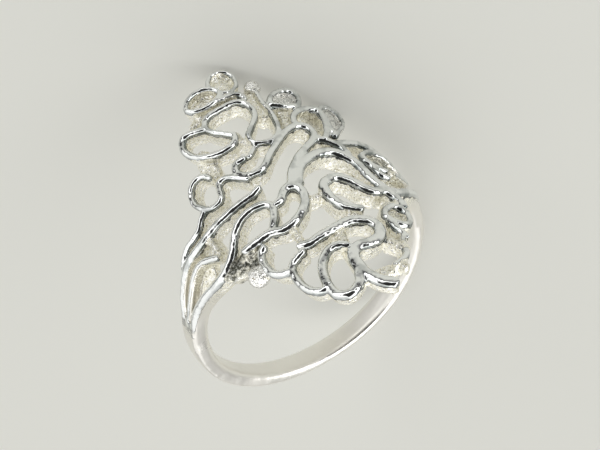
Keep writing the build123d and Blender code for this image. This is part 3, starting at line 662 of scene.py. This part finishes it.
def mark_finish(mesh):
    """Marks where the ring was polished, on its crests, where it is satin, on the plain band,
    the shoulders' front faces and in the finger hole, where painted shade darkens the walls'
    sideways-facing flanks, and where it is stained or frosted. The rest is as it was cast."""
    place = vertex_vectors(mesh, "co")
    normal = vertex_vectors(mesh, "normal")
    across = place[:, 2]
    radius = np.hypot(place[:, 0], place[:, 1])
    outward = (normal[:, 0] * place[:, 0] + normal[:, 1] * place[:, 1]) / radius
    angle = np.degrees(np.arctan2(place[:, 0], place[:, 1]))
    from_head = np.abs(angle)
    along = along_of(angle)
    rise = (radius - BORE_RADIUS) / crest_height(along)

    def near(names):
        return close_to(along, across, [web for web in WEBS if web.name in names])

    near_web = close_to(along, across, WEBS)
    low = CREST_RISE[0] + (WEB_CREST_RISE[0] - CREST_RISE[0]) * near_web
    high = CREST_RISE[1] + (WEB_CREST_RISE[1] - CREST_RISE[1]) * near_web
    crest = smooth_step(*CREST_OUTWARD, outward) * smooth_step(low, high, rise)
    stain = np.maximum(near(STAINED), FAINT_STAIN * near(FAINTLY_STAINED))
    stain *= 1.0 - smooth_step(*WEB_CREST_RISE, rise)
    frost = near(FROSTED)
    for drop in DROPS:
        middle = flat_points((drop.round, drop.along))
        away = np.hypot(along - middle[0], across - middle[1]) / (drop.size * DROP_RADIUS)
        crest *= POLISH_ON_DROPS + (1.0 - POLISH_ON_DROPS) * smooth_step(*DROP_EDGE, away)
        stain *= smooth_step(*DROP_CLEAN_EDGE, away)
        if drop.size > FROSTED_DROP_SIZE:
            frost = np.maximum(frost, 1.0 - smooth_step(*DROP_FROST_EDGE, away))
    crest *= 1.0 - POLISH_LOST_TO_STAIN * stain
    hole = smooth_step(*HOLE_INWARD, -outward)
    band = smooth_step(*BAND_ANGLES, from_head)
    front = smooth_step(*SHOULDER_FRONTWARD, normal[:, 2])
    shoulder = front * smooth_step(*SHOULDER_ANGLES, from_head)
    # Painted shade: walls on the head that face sideways rather than outward, darkened in the colour
    # where they are polished
    flank = 1.0 - smooth_step(*FLANK_OUTWARD, outward)
    flank *= 1.0 - smooth_step(*FLANK_ANGLES, from_head)
    keep_numbers(mesh, "polish", crest * (1.0 - band))
    keep_numbers(mesh, "satin", np.maximum(hole, np.maximum(band, shoulder)))
    keep_numbers(mesh, "flank", flank)
    keep_numbers(mesh, "stain", stain)
    keep_numbers(mesh, "frost", frost)


def ring_axes():
    """From the ring's own axes in millimetres to the frame in metres."""
    turn = Matrix((SIDE, HEAD, FINGER)).transposed().to_4x4()
    return Matrix.Translation(CENTRE) @ turn @ Matrix.Scale(MM, 4)


def make_ring(material):
    """The whole casting as one closed skin, inside the solid's box."""
    lines = Lines()
    for strand in STRANDS:
        add_strand(lines, strand, STRAND_RIM_SHARE)
    for web in WEBS:
        add_strand(lines, web, WEB_RIM_SHARE)
    add_band(lines)
    drops = Lines()
    for drop in DROPS:
        place = flat_points([(drop.round, drop.along)])
        top = drop.height * crest_height(place[:, 0])
        drops.add(place, [drop.size * DROP_RADIUS], top, top)
    walls = with_modifier(lines.to_object("strand_lines"), strand_tree(material))
    balls = with_modifier(drops.to_object("drop_points"), drop_tree(material))
    ring = melted([walls, balls], "ring_casting")
    mark_finish(ring.data)
    ring.data.transform(ring_axes())
    # Melting can push a point a hair past the solid's box
    for point in ring.data.vertices:
        for axis in range(3):
            point.co[axis] = min(max(point.co[axis], CAD_BOX[0][axis]), CAD_BOX[1][axis])
    for face in ring.data.polygons:
        face.use_smooth = True
    ring.data.materials.clear()
    ring.data.materials.append(material)
    return ring


# Silver: bright on the crests, satin on the band, sandy where it is as it was cast
POLISHED_COLOUR = (0.915, 0.93, 0.92, 1.0)
GLINT_COLOUR = (0.99, 0.985, 0.96, 1.0)
SATIN_COLOUR = (0.9, 0.88, 0.83, 1.0)
AS_CAST_COLOUR = (0.99, 0.965, 0.85, 1.0)
FROST_COLOUR = (0.99, 0.985, 0.96, 1.0)
PIT_COLOUR = (0.34, 0.3, 0.2, 1.0)
# Painted dark reflection: a dark line along the edge of the polish
PAINTED_REFLECTION_COLOUR = (0.07, 0.075, 0.07, 1.0)
# Dark grey for tarnished patches at random, and for painted shade on the polished crests' flanks
TARNISH_AND_PAINTED_SHADE_COLOUR = (0.22, 0.245, 0.24, 1.0)
STAIN_COLOUR = (0.1, 0.102, 0.08, 1.0)

# How fine the metal's unevenness is, as changes per metre, and how finely it breaks up
GRAINS = (6500.0, 3.0)
LUMPS = (1800.0, 3.0)
WAVES = (900.0, 2.0)
SMUDGES = (350.0, 3.0)

# How ragged lumps make the polish's edge, and from where to where each mark on the metal
# comes in, on the scale of the mask or noise that drives it. The dark line, a painted dark
# reflection, runs along the polish's edge, near the middle of its change.
RAGGED_EDGE = 0.8
POLISH_EDGE = (0.35, 0.6)
PIT_EDGE = (0.4, 0.3)
GLINT_EDGE = (0.52, 0.575)
SOOT_EDGE = (0.6, 0.44)
TARNISH_EDGE = (0.53, 0.65)
PAINTED_REFLECTION_MIDDLE = 0.45
PAINTED_REFLECTION_EDGE = (0.44, 0.2)

# How strong the marks are
PATCH_TARNISH = 0.4
# Share of the dark grey that painted shade puts on the polished flanks
FLANK_PAINTED_SHADE = 0.62
# How dark the painted reflection line along the polish's edge gets
PAINTED_REFLECTION_STRENGTH = 0.9
GLINTS_LOST_TO_STAIN = 0.75

# Roughness of each finish, and how much smudges add to it
SAND_ROUGHNESS = 0.42
GLINT_ROUGHNESS = 0.1
FROST_ROUGHNESS = 0.24
SATIN_ROUGHNESS = 0.2
SATIN_SMUDGE = 0.24
POLISHED_ROUGHNESS = 0.04
POLISHED_SMUDGE = 0.1

# Relief, in metres, and what share of it lumps and waves have in each finish
RELIEF = 0.00007
SAND_LUMPS = 3.0
FROST_LUMPS = 2.6
EVERY_LUMP = 0.3
POLISHED_WAVES = 1.7


def silver():
    material = bpy.data.materials.new("cast_silver")
    material.use_nodes = True
    tree = Tree(material.node_tree)
    shader = material.node_tree.nodes["Principled BSDF"]
    shader.inputs["Metallic"].default_value = 1.0
    place = tree.node("ShaderNodeTexCoord").outputs["Object"]

    def mark(label):
        return tree.node("ShaderNodeAttribute", attribute_name=label).outputs["Fac"]

    def noise(scale, detail):
        grain = {"Vector": place, "Scale": scale, "Detail": detail}
        return tree.node("ShaderNodeTexNoise", grain).outputs[0]

    polish, satin, flank = mark("polish"), mark("satin"), mark("flank")
    stain, frost = mark("stain"), mark("frost")
    grains, lumps = noise(*GRAINS), noise(*LUMPS)
    waves, smudge = noise(*WAVES), noise(*SMUDGES)
    edge = tree.math("SUBTRACT", polish, RAGGED_EDGE / 2)
    bright = tree.ramp(tree.math("MULTIPLY_ADD", lumps, RAGGED_EDGE, edge), POLISH_EDGE)
    dull = tree.math("SUBTRACT", 1.0, bright)
    bare = tree.math("SUBTRACT", 1.0, satin)

    # Colour: sandy metal with pits, soot and glints, under satin, under the polished crests,
    # which carry tarnished patches, painted shade on their flanks and a painted dark reflection
    glints = tree.ramp(grains, GLINT_EDGE)
    sand_colour = tree.mix(frost, AS_CAST_COLOUR, FROST_COLOUR)
    colour = tree.mix(tree.ramp(grains, PIT_EDGE), sand_colour, PIT_COLOUR)
    soot = tree.math("MULTIPLY", stain, tree.ramp(lumps, SOOT_EDGE))
    colour = tree.mix(soot, colour, STAIN_COLOUR)
    clean = tree.math("MULTIPLY_ADD", stain, -GLINTS_LOST_TO_STAIN, 1.0)
    colour = tree.mix(tree.math("MULTIPLY", glints, clean), colour, GLINT_COLOUR)
    colour = tree.mix(satin, colour, SATIN_COLOUR)
    patches = tree.ramp(waves, TARNISH_EDGE, (0.0, PATCH_TARNISH))
    # Tarnished patches at random, plus painted shade where the polished walls face sideways
    tarnish_and_painted_shade = tree.math("MULTIPLY_ADD", flank, FLANK_PAINTED_SHADE, patches)
    colour = tree.mix(bright, colour, tree.mix(tarnish_and_painted_shade, POLISHED_COLOUR, TARNISH_AND_PAINTED_SHADE_COLOUR))
    # Painted dark reflection: a dark line along the middle of the polish's edge, off the satin
    away = tree.math("ABSOLUTE", tree.math("SUBTRACT", bright, PAINTED_REFLECTION_MIDDLE))
    line = tree.math("MULTIPLY", tree.ramp(away, PAINTED_REFLECTION_EDGE, (0.0, PAINTED_REFLECTION_STRENGTH)), bare)
    tree.feed(shader.inputs["Base Color"], tree.mix(line, colour, PAINTED_REFLECTION_COLOUR))

    sandy = tree.blend(glints, SAND_ROUGHNESS, GLINT_ROUGHNESS)
    sandy = tree.blend(frost, sandy, FROST_ROUGHNESS)
    worn = tree.math("MULTIPLY_ADD", smudge, SATIN_SMUDGE, SATIN_ROUGHNESS)
    shine = tree.math("MULTIPLY_ADD", smudge, POLISHED_SMUDGE, POLISHED_ROUGHNESS)
    roughness = tree.blend(bright, tree.blend(satin, sandy, worn), shine)
    tree.feed(shader.inputs["Roughness"], roughness)

    sand = tree.math("MULTIPLY_ADD", lumps, SAND_LUMPS, grains)
    sand = tree.math("MULTIPLY", sand, tree.math("MULTIPLY", dull, bare))
    swell = tree.math("MULTIPLY_ADD", frost, FROST_LUMPS, EVERY_LUMP)
    height = tree.math("MULTIPLY_ADD", lumps, swell, sand)
    height = tree.math("MULTIPLY_ADD", waves, tree.math("MULTIPLY", bright, POLISHED_WAVES), height)
    bump = tree.node("ShaderNodeBump", {"Strength": 1.0, "Distance": RELIEF, "Height": height})
    tree.feed(shader.inputs["Normal"], bump)
    return material


# Stage: the photograph's viewpoint, in millimetres along the ring's own axes
CAMERA_FOCAL = 249.4
CAMERA_SENSOR = 36.0
CAMERA_NEAR = 0.01
CAMERA_PLACE = (-73.757, 233.344, 173.565)
CAMERA_RIGHT = (0.85124, -0.11423, 0.5122)
CAMERA_UP = (0.46135, 0.62805, -0.62666)

# The table, in metres
FLOOR_HALF = 0.6
# Painted pool of light: the floor and its glow are pale round the ring and deepen to the far colour
# between these distances
PAINTED_POOL_FADE = (0.042, 0.12)
FLOOR_COLOUR = (0.482, 0.482, 0.451, 1.0)
FLOOR_PAST_PAINTED_POOL_COLOUR = (0.25, 0.25, 0.242, 1.0)
FLOOR_GLOW = 0.37
FLOOR_ROUGHNESS = 0.9
FLOOR_SHINE = 0.1

# The tent of light: how far a direction lies along the opening, the back and the fill, or
# above the horizon, and how bright the tent is at both ends of that. The back is low down,
# away from the camera, and the fill comes from beyond the ring, to its right and from above.
ROOM_COLOUR = (1.0, 1.0, 0.985, 1.0)
OPENING_EDGE = (0.64, 0.87)
OPENING_LIGHT = (1.0, 0.01)
BACK_EDGE = (0.3, 0.8)
BACK_LIGHT = (0.03, 0.8)
HORIZON_EDGE = (0.08, 0.24)
FILL_RISE = 0.6
FILL_EDGE = (-0.1, 0.8)
FILL_LIGHT = (1.03, 2.95)


def from_ring(shares):
    return SIDE * shares[0] + HEAD * shares[1] + FINGER * shares[2]


def add_camera():
    data = bpy.data.cameras.new("camera")
    data.lens = CAMERA_FOCAL
    data.sensor_width = CAMERA_SENSOR
    data.clip_start = CAMERA_NEAR
    camera = new_object("camera", data)
    right, up = from_ring(CAMERA_RIGHT), from_ring(CAMERA_UP)
    turn = Matrix((right, up, right.cross(up))).transposed().to_4x4()
    camera.matrix_world = Matrix.Translation(CENTRE + MM * from_ring(CAMERA_PLACE)) @ turn
    bpy.context.scene.camera = camera


def add_floor():
    """A pale light table with a painted pool of light: it deepens well away from the ring, so that
    its metal has an edge.
    """
    mesh = bpy.data.meshes.new("floor")
    corners = [(x * FLOOR_HALF, y * FLOOR_HALF, 0.0) for x, y in ((-1, -1), (1, -1), (1, 1), (-1, 1))]
    mesh.from_pydata(corners, [], [(0, 1, 2, 3)])
    floor = new_object("floor", mesh)
    material = bpy.data.materials.new("pale_floor")
    material.use_nodes = True
    tree = Tree(material.node_tree)
    shader = material.node_tree.nodes["Principled BSDF"]
    place = tree.node("ShaderNodeTexCoord").outputs["Object"]
    far = tree.node("ShaderNodeVectorMath", {0: place}, operation="LENGTH").outputs["Value"]
    colour = tree.mix(tree.ramp(far, PAINTED_POOL_FADE, ease="SMOOTHSTEP"), FLOOR_COLOUR, FLOOR_PAST_PAINTED_POOL_COLOUR)
    tree.feed(shader.inputs["Base Color"], colour)
    tree.feed(shader.inputs["Emission Color"], colour)
    shader.inputs["Emission Strength"].default_value = FLOOR_GLOW
    shader.inputs["Roughness"].default_value = FLOOR_ROUGHNESS
    shader.inputs["Specular IOR Level"].default_value = FLOOR_SHINE
    mesh.materials.append(material)
    floor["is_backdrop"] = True


def add_room():
    """A white tent of light. Its dark opening on the camera's side makes the dark streaks."""
    world = bpy.data.worlds.new("studio")
    world.use_nodes = True
    bpy.context.scene.world = world
    tree = Tree(world.node_tree)
    way = tree.node("ShaderNodeTexCoord").outputs["Generated"]
    eye = from_ring(CAMERA_PLACE).normalized()
    opening = tree.ramp(tree.facing(way, eye), OPENING_EDGE, OPENING_LIGHT, "SMOOTHSTEP")
    back = (eye * Vector((-1.0, -1.0, 0.0))).normalized()
    low = tree.ramp(tree.facing(way, back), BACK_EDGE, BACK_LIGHT)
    up = tree.node("ShaderNodeSeparateXYZ", {0: way}).outputs[2]
    horizon = tree.ramp(up, HORIZON_EDGE, (low, 1.0), "SMOOTHSTEP")
    beyond = (from_ring(CAMERA_RIGHT) + from_ring(CAMERA_UP)) * Vector((1.0, 1.0, 0.0))
    beyond = (beyond.normalized() + Vector((0.0, 0.0, FILL_RISE))).normalized()
    fill = tree.ramp(tree.facing(way, beyond), FILL_EDGE, FILL_LIGHT, "SMOOTHSTEP")
    background = world.node_tree.nodes["Background"]
    background.inputs["Color"].default_value = ROOM_COLOUR
    strength = tree.math("MULTIPLY", tree.math("MULTIPLY", opening, horizon), fill)
    tree.feed(background.inputs["Strength"], strength)
    bpy.context.scene.view_settings.view_transform = "Standard"


add_camera()
ring = make_ring(silver())
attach(ring, "root")
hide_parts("ring")
add_floor()
add_room()

boxes = {"cad": CAD_BOX, "visual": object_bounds()}
boxes = {name: [list(corner) for corner in box] for name, box in boxes.items()}
